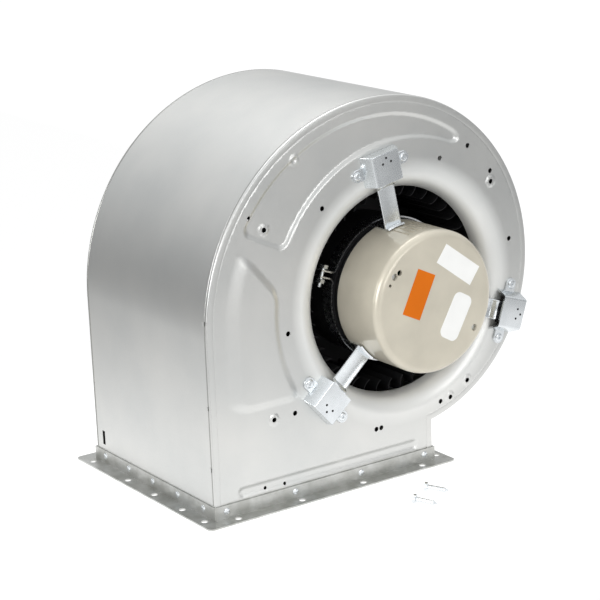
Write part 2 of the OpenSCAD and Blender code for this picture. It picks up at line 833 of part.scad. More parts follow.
module race(y, r0, r1) {
    turned() difference() {
        translate([r0, y - bearing_w / 2]) square([r1 - r0, bearing_w]);
        translate([track_r, y]) circle(ball_track, $fn = fine);
    }
}

module bearing_outer_rings() color(zinc) for (y = [front_bearing, rear_bearing])
    race(y, bearing_out - race_t, bearing_out);

module bearing_inner_rings() color(zinc) for (y = [front_bearing, rear_bearing])
    race(y, shaft_r, shaft_r + race_t);

module ball_set(y) color(zinc) for (i = [0:balls - 1]) around(i * 360 / balls)
    translate([track_r, y, 0]) sphere(ball_r, $fn = 32);

// Riveted ring cage, one pocket to each ball
module cage(y) color([0.7, 0.6, 0.35]) difference() {
    turned() translate([track_r - cage_t / 2, y - bearing_w / 2 + 1]) square([cage_t, bearing_w - 2]);
    for (i = [0:balls - 1]) around(i * 360 / balls) translate([track_r, y, 0])
        rotate([0, 90, 0]) cylinder(h = 4 * cage_t, r = ball_r + slip, center = true, $fn = 32);
}

module front_balls() ball_set(front_bearing);

module front_cage() cage(front_bearing);

module rear_balls() ball_set(rear_bearing);

module rear_cage() cage(rear_bearing);

module motor_shaft() color(zinc) at_shaft() bar(shaft_front, shaft_rear, shaft_r);

module rotor_core() color(dark) prism(core_front + 1, core_rear - 1)
    translate([shaft_x, shaft_z]) difference() {
        circle(rotor_r - magnet_t, $fn = fine);
        circle(shaft_r, $fn = fine);
    }

module rotor_magnets() color([0.25, 0.25, 0.27]) prism(core_front + 1, core_rear - 1)
    for (i = [0:poles - 1]) translate([shaft_x, shaft_z]) rotate(i * 360 / poles) intersection() {
        difference() {
            circle(rotor_r, $fn = fine);
            circle(rotor_r - magnet_t, $fn = fine);
        }
        rotate(magnet_gap / 2) square(2 * rotor_r);
        rotate(360 / poles - magnet_gap / 2 - 90) square(2 * rotor_r);
    }

module wheel_hub() color(zinc) difference() {
    at_shaft() union() {
        bar(-hub_l / 2, hub_l / 2, hub_r);
        bar(disc_t / 2, disc_t / 2 + hub_flange_t, hub_flange_r);
    }
    at_shaft() bar(-hub_l, hub_l, shaft_r);
    for (i = [0:hub_rivets_n - 1]) around(i * 360 / hub_rivets_n) translate([hub_rivet_pcr, 0, 0])
        bar(0, hub_l, rivet_r);
    around(band_angle) translate([0, set_screw_y, 0]) rotate([0, 90, 0])
        cylinder(h = 2 * hub_r, r = set_screw_r, $fn = 32);
}

module hub_rivets() color(zinc) for (i = [0:hub_rivets_n - 1])
    around(i * 360 / hub_rivets_n) translate([hub_rivet_pcr, 0, 0]) {
        bar(-disc_t / 2 - hub_rivet_head, -disc_t / 2, rivet_head[0]);
        bar(-disc_t / 2, disc_t / 2 + hub_flange_t, rivet_r);
        bar(disc_t / 2 + hub_flange_t, disc_t / 2 + hub_flange_t + hub_rivet_head, rivet_head[0]);
    }

module hub_set_screw() color(dark) around(band_angle) translate([0, set_screw_y, 0]) rotate([0, 90, 0])
    difference() {
        translate([0, 0, shaft_r]) cylinder(h = hub_r - shaft_r, r = set_screw_r, $fn = 32);
        translate([0, 0, hub_r - set_screw_hex[1]])
            cylinder(h = set_screw_hex[1] + cut, r = set_screw_hex[0], $fn = 6);
    }

// Forward-curved blade drawn at +X
module blade_2d() {
    translate([blade_centre, 0]) intersection() {
        difference() {
            circle(blade_curve + blade_t / 2, $fn = fine);
            circle(blade_curve - blade_t / 2, $fn = fine);
        }
        polygon([[0, 0], for (f = [0:3]) let (b = blade_from + f / 3 * (blade_to - blade_from))
            blade_curve * 3 * [cos(b), sin(b)]]);
    }
}

module blades_2d() {
    translate([shaft_x, shaft_z]) for (i = [0:blades - 1]) rotate(i * 360 / blades) blade_2d();
}

module wheel_blades() color(galvanised)
    prism(-half_wheel + ring_t, half_wheel - ring_t) blades_2d();

module wheel_disc() color(galvanised) difference() {
    prism(-disc_t / 2, disc_t / 2) difference() {
        translate([shaft_x, shaft_z]) circle(disc_r, $fn = fine);
        translate([shaft_x, shaft_z]) circle(hub_r, $fn = fine);
        blades_2d();
        translate([shaft_x, shaft_z]) for (i = [0:hub_rivets_n - 1])
            rotate(i * 360 / hub_rivets_n) translate([hub_rivet_pcr, 0]) circle(rivet_r, $fn = 24);
    }
}

// Rolled end ring over the blade ends
module wheel_ring() {
    turned() {
        translate([ring_in, -half_wheel]) square([wheel_r - ring_in, ring_t]);
        translate([wheel_r - ring_t, -half_wheel]) square([ring_t, ring_depth]);
    }
}

module wheel_ring_front() color(galvanised) wheel_ring();

module wheel_ring_rear() color(galvanised) mirror([0, 1, 0]) wheel_ring();

module plaque(at) {
    prism(motor_front - label_t, motor_front)
        translate([shaft_x + at[0], shaft_z + at[1]]) rotate(at[4]) square([at[2], at[3]], center = true);
}

module label_orange() color([0.86, 0.47, 0.15]) plaque(orange_at);

module label_upper() color("white") plaque(upper_at);

module label_lower() color("white") prism(motor_front - label_t, motor_front)
    translate([shaft_x + lower_at[0], shaft_z + lower_at[1]]) rotate(lower_at[4]) {
        reach = [lower_at[2] / 2 - label_corner, lower_at[3] / 2 - label_corner];
        square([lower_at[2], 2 * reach[1]], center = true);
        square([2 * reach[0], lower_at[3]], center = true);
        for (s = [-1, 1], t = [-1, 1]) translate([s * reach[0], t * reach[1]])
            circle(label_corner, $fn = fine / 2);
    }

// Pan-head screws lying on the floor, resting on head rim and tip
module fixing_screws() color(zinc) {
    tilt = asin((screw_head[0] - screw_r) / screw_l);
    for (s = screw_at) translate([shaft_x + s[0], plate_y + s[1], screw_head[0]]) rotate([0, 0, s[2]])
        rotate([0, 90 + tilt, 0]) {
            cylinder(h = screw_head[1], r = screw_head[0], $fn = 32);
            translate([0, 0, screw_head[1]]) cylinder(h = screw_l - screw_tip[1], r = screw_r, $fn = 24);
            translate([0, 0, screw_head[1] + screw_l - screw_tip[1]])
                cylinder(h = screw_tip[1], r1 = screw_r, r2 = screw_tip[0], $fn = 24);
        }
}

scroll_wrap();
motor_side_plate();
rear_side_plate();
cutoff_plate();
flange_front();
flange_back();
flange_left();
flange_right();
flange_rivets();
seam_clinches();
arm_top();
arm_lower();
arm_right();
bracket_top();
bracket_lower();
bracket_right();
isolator_top();
isolator_lower();
isolator_right();
bracket_rivets();
clamping_band();
band_bolt();
band_nut();
motor_cover();
cover_screws();
front_shield();
rear_shell();
stator_core();
stator_coils();
control_board();
board_capacitors();
power_module();
bearing_outer_rings();
bearing_inner_rings();
front_balls();
front_cage();
rear_balls();
rear_cage();
motor_shaft();
rotor_core();
rotor_magnets();
wheel_hub();
hub_rivets();
hub_set_screw();
wheel_disc();
wheel_blades();
wheel_ring_front();
wheel_ring_rear();
label_orange();
label_upper();
label_lower();
fixing_screws();
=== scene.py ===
"""Looks of the centrifugal blower: detailed sheet metal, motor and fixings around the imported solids."""

import json
import math

import bmesh
import bpy
import numpy as np
from mathutils import Euler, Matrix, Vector
from mathutils.geometry import delaunay_2d_cdt


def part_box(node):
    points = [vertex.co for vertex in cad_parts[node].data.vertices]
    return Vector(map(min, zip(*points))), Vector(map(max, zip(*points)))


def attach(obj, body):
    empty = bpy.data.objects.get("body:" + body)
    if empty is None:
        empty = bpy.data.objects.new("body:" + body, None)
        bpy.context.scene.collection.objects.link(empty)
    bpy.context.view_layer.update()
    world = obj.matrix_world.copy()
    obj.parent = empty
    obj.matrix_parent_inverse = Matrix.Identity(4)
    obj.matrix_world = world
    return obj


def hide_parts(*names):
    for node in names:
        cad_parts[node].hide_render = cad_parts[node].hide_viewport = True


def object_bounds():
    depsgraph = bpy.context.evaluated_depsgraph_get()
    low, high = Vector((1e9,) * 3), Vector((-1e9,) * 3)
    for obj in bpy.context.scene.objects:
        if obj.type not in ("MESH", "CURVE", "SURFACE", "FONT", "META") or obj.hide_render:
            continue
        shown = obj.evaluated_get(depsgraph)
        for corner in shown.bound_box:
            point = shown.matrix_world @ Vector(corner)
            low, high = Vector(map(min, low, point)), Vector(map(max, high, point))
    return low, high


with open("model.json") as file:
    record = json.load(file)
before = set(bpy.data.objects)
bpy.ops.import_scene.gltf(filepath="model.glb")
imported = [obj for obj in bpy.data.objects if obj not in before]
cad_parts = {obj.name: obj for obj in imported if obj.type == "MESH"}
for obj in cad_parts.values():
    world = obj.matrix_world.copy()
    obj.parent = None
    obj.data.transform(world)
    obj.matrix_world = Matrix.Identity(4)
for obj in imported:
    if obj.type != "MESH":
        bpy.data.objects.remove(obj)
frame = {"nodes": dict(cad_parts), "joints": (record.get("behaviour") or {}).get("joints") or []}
cad_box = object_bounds()
MM = 0.001


def mm(node):
    """A node's lowest and highest corners in millimetres."""
    low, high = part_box(node)
    return np.array(low) / MM, np.array(high) / MM


# ---- dimensions in millimetres, from the frame ----
wrap_low, wrap_high = mm("scroll_wrap")
band_low, band_high = mm("clamping_band")
hinge = next(j for j in frame["joints"] if j["name"] == "wheel_spin")["pos_m"]
SHAFT = np.array([hinge[0], hinge[2]]) / MM
HALF_W, NECK = wrap_high[1], -wrap_low[0]
SHEET, SEAM = 1.2, 7.0
R_A, STEP_UP, STEP_SIDE = 208.0, 21.0, 27.0
R_B, R_C = R_A - STEP_UP, R_A - STEP_UP - STEP_SIDE
ARC_A = np.array([R_A - NECK, wrap_high[2] - R_A])
ARC_B = ARC_A + (0, STEP_UP)
ARC_C = ARC_B + (STEP_SIDE, 0)
BELL_R, BELL_CURVE, BELL_BLEND = 126.0, 20.0, 12.0
LEG_TOP = 16.5
MOTOR_R = 72.5
ARMS = (101.5, 221.5, 341.5)
# rise and fall of the crimped line along the wrap's edges, from the side plate's face inwards
CRIMP, CRIMP_DEPTH = (2.4, 2.9, 3.5, 4.0), 0.45


# ---- mesh helpers ----
def add_mesh(name, verts, faces, look, replaces=(), body="housing", smooth=35, normals=None):
    """A mesh from millimetre points that rides on a body and stands for the named nodes."""
    mesh = bpy.data.meshes.new(name)
    mesh.from_pydata((np.asarray(verts, float) * MM).tolist(), [], [list(map(int, f)) for f in faces])
    mesh.validate()
    mesh.update()
    if normals is None:
        shape = bmesh.new()
        shape.from_mesh(mesh)
        bmesh.ops.recalc_face_normals(shape, faces=shape.faces)
        shape.to_mesh(mesh)
        shape.free()
    mesh.shade_smooth()
    mesh.set_sharp_from_angle(angle=math.radians(smooth))
    if normals is not None:
        mesh.normals_split_custom_set_from_vertices([tuple(n) for n in normals])
    obj = bpy.data.objects.new(name, mesh)
    bpy.context.scene.collection.objects.link(obj)
    mesh.materials.append(LOOKS[look])
    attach(obj, body)
    if replaces:
        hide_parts(*replaces)
    return obj


class Build:
    """Collects points and faces of one piece, in millimetres."""

    def __init__(self):
        self.verts, self.faces, self.count = [], [], 0

    def add(self, verts, faces):
        verts = np.asarray(verts, float).reshape(-1, 3)
        base = self.count
        self.verts.append(verts)
        self.faces += [[base + i for i in f] for f in faces]
        self.count += len(verts)

    def make(self, name, look, replaces=(), body="housing", smooth=35):
        return add_mesh(name, np.concatenate(self.verts), self.faces, look, replaces, body, smooth)


def grid_faces(rows, cols, close_cols=False):
    """Quads over a grid of points, whose rows may close on themselves."""
    faces = []
    for i in range(rows - 1):
        for j in range(cols if close_cols else cols - 1):
            across = (j + 1) % cols
            faces.append([i * cols + j, i * cols + across, (i + 1) * cols + across, (i + 1) * cols + j])
    return faces


def shell(verts, faces, normals, thickness):
    """Gives a sheet its thickness: the front, a back behind it, and walls at its open edges."""
    verts, normals = np.asarray(verts, float), np.asarray(normals, float)
    count = len(verts)
    back = verts - normals * thickness
    edges = {}
    for f in faces:
        for a, b in zip(f, list(f[1:]) + [f[0]]):
            edges[(a, b)] = edges.get((a, b), 0) + 1
    rim = [(a, b) for a, b in edges if (b, a) not in edges]
    out = [list(f) for f in faces] + [[i + count for i in f[::-1]] for f in faces]
    out += [[b, a, a + count, b + count] for a, b in rim]
    return np.concatenate([verts, back]), out


def grid_normals(points):
    """Unit normals of a grid of points, rows crossed with columns."""
    down, across = np.gradient(points, axis=0), np.gradient(points, axis=1)
    n = np.cross(across, down)
    return n / np.maximum(np.linalg.norm(n, axis=2, keepdims=True), 1e-9)


def rounded(path, radius, steps=4):
    """A polyline (a, b) with its corners turned into arcs."""
    path = np.asarray(path, float)
    out = [path[0]]
    for a, b, c in zip(path, path[1:], path[2:]):
        u, v = (a - b) / np.linalg.norm(a - b), (c - b) / np.linalg.norm(c - b)
        half = math.acos(np.clip(u @ v, -1, 1)) / 2
        reach = min(radius / math.tan(half), *(0.49 * np.linalg.norm(end - b) for end in (a, c)))
        centre = b + (u + v) / np.linalg.norm(u + v) * reach / math.cos(half)
        start, end, turn = b + u * reach - centre, b + v * reach - centre, math.pi - 2 * half
        for t in np.linspace(0, 1, steps + 1):
            bent = math.sin((1 - t) * turn) * start + math.sin(t * turn) * end
            out.append(centre + bent / math.sin(turn))
    return np.array(out + [path[-1]])


def ribbon(path, thickness):
    """The closed section of a bent sheet: its path and the same path shifted to the left."""
    path = np.asarray(path, float)
    along = np.gradient(path, axis=0)
    along /= np.linalg.norm(along, axis=1, keepdims=True)
    left = np.stack([-along[:, 1], along[:, 0]], axis=1)
    return np.concatenate([path, (path + thickness * left)[::-1]])


def sweep(section, stations, place):
    """A closed section (a, b) carried through stations; place(a, b, station) gives its points."""
    rows = np.array([place(section[:, 0], section[:, 1], t) for t in stations])
    count = len(section)
    faces = grid_faces(len(rows), count, close_cols=True)
    faces += [list(range(count)), list(range(count * (len(rows) - 1), count * len(rows)))]
    return rows.reshape(-1, 3), faces


def pad(outline_2d, low, high, edge, place):
    """A plate over a convex outline whose upper and lower rims are chamfered by edge."""
    middle = outline_2d.mean(axis=0)
    size = np.abs(outline_2d - middle).max(axis=0)
    scale = lambda inset: (outline_2d - middle) * (1 - inset / size) + middle
    levels = ((low, edge), (low + edge, 0), (high - edge, 0), (high, edge))
    rows = np.array([place(*scale(inset).T, level) for level, inset in levels])
    count = len(outline_2d)
    faces = grid_faces(len(rows), count, close_cols=True)
    faces += [list(range(count)), list(range(count * (len(rows) - 1), count * len(rows)))]
    return rows.reshape(-1, 3), faces


def lathe(profile, sides=48):
    """Points (radius, height) turned about +Z, with faces that look outwards for a profile that climbs."""
    profile = np.asarray(profile, float)
    a = np.linspace(0, 2 * math.pi, sides, endpoint=False)
    pts = np.array([[r * np.cos(a), r * np.sin(a), np.full(sides, h)] for r, h in profile])
    faces = grid_faces(len(profile), sides, close_cols=True)
    return pts.transpose(0, 2, 1).reshape(-1, 3), [f[::-1] for f in faces]


def frame_at(verts, origin, axis):
    """Moves points drawn about +Z to an origin with +Z along axis."""
    z = np.asarray(axis, float) / np.linalg.norm(axis)
    helper = np.array([0, 0, 1.0]) if abs(z[2]) < 0.9 else np.array([1.0, 0, 0])
    x = np.cross(helper, z)
    x /= np.linalg.norm(x)
    basis = np.array([x, np.cross(z, x), z])
    return np.asarray(verts, float) @ basis + np.asarray(origin, float)


def on_plate(angle, u, v, lift, side=-1):
    """Points in the frame of an arm: u outwards, v counter-clockwise, lift out of the side plate."""
    a = math.radians(angle)
    u, v, lift = np.broadcast_arrays(*map(np.asarray, (u, v, lift)))
    x = SHAFT[0] + u * math.cos(a) - v * math.sin(a)
    z = SHAFT[1] + u * math.sin(a) + v * math.cos(a)
    return np.stack([x, side * (HALF_W + lift), z], axis=-1)


def ease(t):
    t = np.clip(t, 0, 1)
    return t * t * (3 - 2 * t)


def both(a, b, radius):
    """Inside distance of two shapes' overlap, with its corners rounded."""
    near = (a < radius) & (b < radius)
    return np.where(near, radius - np.hypot(radius - a, radius - b), np.minimum(a, b))


# ---- outline of the scroll and neck ----
STEP = 3.0


def outline(inset):
    """Points (x, z) at an inset from the outside, from the left foot over the top to the right foot."""
    side = NECK - inset

    def arc(centre, radius, start, end, turn):
        a = np.radians(np.linspace(start, end, round(math.radians(turn) * radius / STEP), endpoint=False))
        return centre + (radius - inset) * np.stack([np.cos(a), np.sin(a)], axis=1)

    meet = math.degrees(math.acos((side - ARC_C[0]) / (R_C - inset)))
    foot = ARC_C[1] - math.sqrt((R_C - inset) ** 2 - (side - ARC_C[0]) ** 2)
    rise = np.linspace(0, ARC_A[1], round(ARC_A[1] / STEP), endpoint=False)
    fall = np.linspace(foot, 0, 17)
    return np.concatenate([
        np.stack([np.full_like(rise, -side), rise], axis=1),
        arc(ARC_A, R_A, 180, 90, 90), arc(ARC_B, R_B, 90, 0, 90), arc(ARC_C, R_C, 0, -meet, 60),
        np.stack([np.full_like(fall, side), fall], axis=1)])


def inside(p):
    """Distance of points (x, z) inwards from the outline of the scroll and neck."""
    x, z = p[:, 0], p[:, 1]
    to = lambda centre, radius: radius - np.hypot(x - centre[0], z - centre[1])
    left = np.where(z < ARC_A[1], x + NECK, to(ARC_A, R_A))
    top = np.where(x < ARC_A[0], left, np.where(z > ARC_B[1], to(ARC_B, R_B), 1e3))
    right = np.maximum(np.where(z < ARC_B[1], NECK - x, -1e3), to(ARC_C, R_C))
    low = np.where(z > ARC_B[1], 1e3, right)
    return np.minimum(np.minimum(left, top), low)


# ---- materials ----
def node_tree(name, base, metallic, roughness):
    """A material with its node tree, its shader and its object coordinates."""
    material = bpy.data.materials.get(name + "_look") or bpy.data.materials.new(name + "_look")
    material.use_nodes = True
    nodes, links = material.node_tree.nodes, material.node_tree.links
    shader = nodes["Principled BSDF"]
    shader.inputs["Base Color"].default_value = (*base, 1)
    shader.inputs["Metallic"].default_value = metallic
    shader.inputs["Roughness"].default_value = roughness
    coords = nodes.new("ShaderNodeTexCoord")
    return material, nodes, links, shader, coords.outputs["Object"]


def chain(nodes, links, kind, operation, *inputs):
    """A math or vector math node whose inputs are sockets or plain values."""
    node = nodes.new(kind)
    node.operation = operation
    for socket, value in zip(node.inputs, inputs):
        if isinstance(value, (int, float, tuple)):
            socket.default_value = value
        else:
            links.new(value, socket)
    return node


def math_node(nodes, links, operation, *inputs):
    return chain(nodes, links, "ShaderNodeMath", operation, *inputs).outputs[0]


def noise(nodes, links, coords, scale, detail=3):
    """A noise texture over the object's own coordinates, in waves per metre."""
    texture = nodes.new("ShaderNodeTexNoise")
    texture.inputs["Scale"].default_value = scale
    texture.inputs["Detail"].default_value = detail
    links.new(coords, texture.inputs["Vector"])
    return texture.outputs["Fac"]


def spread(nodes, links, value, low, high, start=0.3, end=0.7):
    """Maps a texture's middle range onto low..high."""
    node = nodes.new("ShaderNodeMapRange")
    for key, number in zip(("From Min", "From Max", "To Min", "To Max"), (start, end, low, high)):
        node.inputs[key].default_value = number
    links.new(value, node.inputs["Value"])
    return node.outputs["Result"]


def tint(nodes, links, factor, dark, light, over=None):
    """Mixes two colours by a 0..1 factor, and multiplies another colour by the result if given."""
    mix = nodes.new("ShaderNodeMix")
    mix.data_type = "RGBA"
    if over:
        product = nodes.new("ShaderNodeMix")
        product.data_type, product.blend_type = "RGBA", "MULTIPLY"
        product.inputs["Factor"].default_value = 1
        links.new(over, product.inputs["A"])
        links.new(mix.outputs["Result"], product.inputs["B"])
    mix.inputs["A"].default_value = (*dark, 1)
    mix.inputs["B"].default_value = (*light, 1)
    links.new(factor, mix.inputs["Factor"])
    return product.outputs["Result"] if over else mix.outputs["Result"]


def bump(nodes, links, shader, height, strength, distance):
    node = nodes.new("ShaderNodeBump")
    node.inputs["Strength"].default_value = strength
    node.inputs["Distance"].default_value = distance
    links.new(height, node.inputs["Height"])
    previous = shader.inputs["Normal"].links
    if previous:
        links.new(previous[0].from_socket, node.inputs["Normal"])
    links.new(node.outputs["Normal"], shader.inputs["Normal"])


def sheet_metal(name, light, dark, roughness, cloud=9, grain=900, dent=0.25, wave=14, marks=None):
    """Zinc-coated sheet: cloudy tone, fine grain, uneven gloss and slightly wavy surface."""
    material, nodes, links, shader, coords = node_tree(name, light, 1.0, roughness)
    clouds = noise(nodes, links, coords, cloud, 4)
    fine = noise(nodes, links, coords, grain, 2)
    tone = tint(nodes, links, spread(nodes, links, clouds, 0, 1), dark, light)
    if marks:
        tone = marks(nodes, links, shader, coords, tone)
    links.new(tone, shader.inputs["Base Color"])
    uneven = spread(nodes, links, fine, roughness - 0.05, roughness + 0.07)
    links.new(uneven, shader.inputs["Roughness"])
    bump(nodes, links, shader, noise(nodes, links, coords, wave, 1), dent, 0.0006)
    bump(nodes, links, shader, fine, 0.06, 0.0001)
    return material


def housing_marks(nodes, links, shader, coords, tone):
    """Darker in patches low on the housing, and painted light in the drawn inlet: duller metal with a
    paler tone, which brightens the bell's dark reflections.
    """
    split = nodes.new("ShaderNodeSeparateXYZ")
    links.new(coords, split.inputs[0])
    # darker in patches below the tops of the flange legs
    low = spread(nodes, links, split.outputs["Z"], 1.0, 0.0, (LEG_TOP - 1) * MM, (LEG_TOP + 1) * MM)
    patches = spread(nodes, links, noise(nodes, links, coords, 70, 5), 0.35, 1.0, 0.35, 0.65)
    low_darkening = math_node(nodes, links, "MULTIPLY", low, patches)
    tone = tint(nodes, links, low_darkening, (1, 1, 1), (0.68, 0.68, 0.66), tone)
    flat = chain(nodes, links, "ShaderNodeVectorMath", "MULTIPLY", coords, (1.0, 0.0, 1.0))
    reach = chain(nodes, links, "ShaderNodeVectorMath", "DISTANCE",
                  flat.outputs["Vector"], (SHAFT[0] * MM, 0.0, SHAFT[1] * MM)).outputs["Value"]
    # painted light: the drawn inlet gets a paler tone and less metal, so its dark reflections read
    # brighter
    drawn = spread(nodes, links, reach, 1, 0, BELL_R * MM, (BELL_R + BELL_BLEND) * MM)
    links.new(spread(nodes, links, drawn, 1.0, 0.45, 0, 1), shader.inputs["Metallic"])
    return tint(nodes, links, drawn, (1, 1, 1), (1.15, 1.15, 1.15), tone)


def seam_shade_lines(nodes, links, _shader, coords, tone):
    """Painted shade: dark lines along the wrap's crimps over the front and rear side plates."""
    split = nodes.new("ShaderNodeSeparateXYZ")
    links.new(coords, split.inputs[0])
    # distances from the plates' faces at which the lines fade in and out
    begin, full, fade, end, rear_full = (d * MM for d in (1.8, 2.4, 3.6, 4.2, 3.4))
    edge = HALF_W * MM
    front = math_node(nodes, links, "MULTIPLY",
                      spread(nodes, links, split.outputs["Y"], 0, 1, -edge + begin, -edge + full),
                      spread(nodes, links, split.outputs["Y"], 1, 0, -edge + fade, -edge + end))
    rear = spread(nodes, links, split.outputs["Y"], 0, 1, edge - end, edge - rear_full)
    line = math_node(nodes, links, "MAXIMUM", front, rear)
    return tint(nodes, links, line, (1, 1, 1), (0.5, 0.5, 0.49), tone)


def plain(name, base, metallic, roughness, speck=400, depth=0.1, vary=0.06, coat=0.0, gloss=0.5):
    """Paint, rubber or plastic: a slightly uneven tone and gloss over a fine texture."""
    material, nodes, links, shader, coords = node_tree(name, base, metallic, roughness)
    shader.inputs["Coat Weight"].default_value = coat
    shader.inputs["Coat Roughness"].default_value = 0.12
    shader.inputs["Specular IOR Level"].default_value = gloss
    clouds = spread(nodes, links, noise(nodes, links, coords, 30), 0, 1)
    dark = tuple(c * (1 - vary) for c in base)
    light = tuple(min(1, c * (1 + vary)) for c in base)
    links.new(tint(nodes, links, clouds, dark, light), shader.inputs["Base Color"])
    fine = noise(nodes, links, coords, speck, 2)
    links.new(spread(nodes, links, fine, roughness - 0.06, roughness + 0.06), shader.inputs["Roughness"])
    bump(nodes, links, shader, fine, depth, 0.0002)
    return material


GALVANISED = ((0.70, 0.70, 0.68), (0.61, 0.62, 0.61), 0.36)
LOOKS = {
    "galvanised": sheet_metal("galvanised", *GALVANISED, marks=housing_marks),
    # the wrap's sheet carries painted shade lines along its seams
    "wrap_sheet": sheet_metal("wrap_sheet", *GALVANISED, marks=seam_shade_lines),
    "band_steel": plain("band_steel", (0.72, 0.73, 0.74), 1.0, 0.25, speck=900, depth=0.1),
    "zinc": sheet_metal("zinc", (0.80, 0.83, 0.85), (0.70, 0.73, 0.75), 0.24, cloud=60, dent=0.1, wave=60),
    "motor_paint": plain("motor_paint", (0.58, 0.54, 0.445), 0.3, 0.34, speck=700, depth=0.05, coat=0.35),
    "dark_paint": plain("dark_paint", (0.015, 0.015, 0.016), 0.0, 0.5, gloss=0.14),
    "lamination": sheet_metal("lamination", (0.10, 0.10, 0.10), (0.05, 0.05, 0.05), 0.45, grain=1500),
    "magnet": plain("magnet", (0.06, 0.06, 0.065), 0.6, 0.5),
    "copper": plain("copper", (0.50, 0.19, 0.08), 0.9, 0.3, speck=900, depth=0.4),
    "rubber": plain("rubber", (0.012, 0.012, 0.013), 0.0, 0.7, speck=900, depth=0.3),
    "board": plain("board", (0.01, 0.07, 0.03), 0.0, 0.3),
    "capacitor": plain("capacitor", (0.015, 0.015, 0.02), 0.0, 0.35),
    "brass": plain("brass", (0.55, 0.38, 0.13), 1.0, 0.3),
    "bearing_steel": plain("bearing_steel", (0.60, 0.61, 0.62), 1.0, 0.15),
    "cast_aluminium": plain("cast_aluminium", (0.42, 0.43, 0.44), 1.0, 0.5, speck=500, depth=0.4),
    "orange_label": plain("orange_label", (0.62, 0.14, 0.004), 0.0, 0.5, vary=0.04, gloss=0.1),
    "white_label": plain("white_label", (0.82, 0.82, 0.80), 0.0, 0.35, vary=0.03),
}
for node in frame["nodes"].values():
    for slot in node.material_slots:
        slot.material = LOOKS[slot.material.name.split(".")[0]]


# ---- sheet pieces cut from a flat outline ----
def circle(centre, radius, count):
    a = np.linspace(0, 2 * math.pi, count, endpoint=False)
    return np.asarray(centre, float) + radius * np.stack([np.cos(a), np.sin(a)], axis=1)


def within(points, loop):
    """Which points lie inside a closed loop."""
    x, y = points[:, 0], points[:, 1]
    hit = np.zeros(len(points), bool)
    for (x0, y0), (x1, y1) in zip(loop, np.roll(loop, -1, axis=0)):
        if y0 != y1:
            hit ^= ((y0 > y) != (y1 > y)) & (x < (x1 - x0) * (y - y0) / (y1 - y0) + x0)
    return hit


def cut_sheet(outer, holes, spacing, lines=()):
    """Triangles over an outline with holes and crease lines, and each loop's point numbers."""
    loops = [np.asarray(loop, float) for loop in [outer, *holes]]
    low, high = loops[0].min(0), loops[0].max(0)
    rows = np.arange(low[1], high[1], spacing * math.sqrt(3) / 2)
    free = []
    for i, z in enumerate(rows):
        across = np.arange(low[0] + (i % 2) * spacing / 2, high[0], spacing)
        free.append(np.stack([across, np.full(len(across), z)], axis=1))
    free = np.concatenate(free)
    keep = within(free, loops[0])
    for loop in loops[1:]:
        keep &= ~within(free, loop)
    free = free[keep]
    edge = np.concatenate([*loops, *lines])
    cells = {tuple(c) for c in np.floor(edge / spacing * 1.6).astype(int)}
    free = free[[tuple(c) not in cells for c in np.floor(free / spacing * 1.6).astype(int)]]
    edges, start, spans = [], 0, []
    for loop in loops:
        n = len(loop)
        edges += [(start + i, start + (i + 1) % n) for i in range(n)]
        spans.append((start, start + n))
        start += n
    for line in lines:
        edges += [(start + i, start + i + 1) for i in range(len(line) - 1)]
        start += len(line)
    points = [Vector(p) for p in np.concatenate([edge, free])]
    verts, _, faces, origin, _, _ = delaunay_2d_cdt(points, edges, [], 0, 1e-5)
    verts = np.array([tuple(v) for v in verts])
    faces = np.array([list(f) for f in faces])
    middle = verts[faces].mean(axis=1)
    keep = within(middle, loops[0])
    for loop in loops[1:]:
        keep &= ~within(middle, loop)
    number = {i: k for k, olds in enumerate(origin) for i in olds}
    faces = faces[keep]
    a, b, c = verts[faces[:, 0]], verts[faces[:, 1]], verts[faces[:, 2]]
    turn = (b[:, 0] - a[:, 0]) * (c[:, 1] - a[:, 1]) - (b[:, 1] - a[:, 1]) * (c[:, 0] - a[:, 0])
    faces[turn < 0] = faces[turn < 0][:, ::-1]
    return verts, faces.tolist(), [[number[i] for i in range(*span)] for span in spans]


# ---- side plates ----
PANEL_H, PANEL_ROOM = 2.2, 32.0
TOP_PANEL = (64, 154)
# upper edge of the left panel: a point on it and the direction into the panel
LEFT_TOP = (np.array([-98.0, 268.0]), np.array([-0.771, -0.636]))
TOP_INSET, LEFT_INSET, PANEL_LOW = 19.0, 26.0, SHAFT[1] - 80
GROOVE_Z, GROOVE_R, GROOVE_ENDS = 22.5, 4.5, (-100.0, 108.0)
GROOVE_HOLES = ((-74, 20.5), (-51, 19.5))
HOLE_R = 2.6
# a hole beside each arm: distance from the inlet's edge and turn from the arm
RING_OUT, RING_TURN = 15, 32
# single holes of a plate: distance from the inlet's edge and angle about the shaft
SINGLES = ((83.8, 149.6), (62, 150.7), (73.6, 129.5), (35.6, 58.7), (30.3, 43.7), (22.9, 40.6),
           (42.1, -145.2), (63.7, -149.2), (13.2, -104.1), (5.2, -70.9), (7.8, -65.5), (7.5, -54.2),
           (13.1, 69.8), (17.0, -174.3))
# those with a raised ring round them, and the one that is only a dimple
RINGED = (1, 2, 5, 7, 10, 11)
BLIND = 2
# step down of the plate's rim under the wrap's folded edge, and the two lines between which it falls
JOGGLE, CREASES = 0.8, (SEAM - 0.8, SEAM + 0.15)
FOOT_U, FOOT_V, FOOT_R = 136.0, 28.5, 6.5


def about_shaft(radius, angle):
    a = math.radians(angle)
    return SHAFT + radius * np.array([math.cos(a), math.sin(a)])


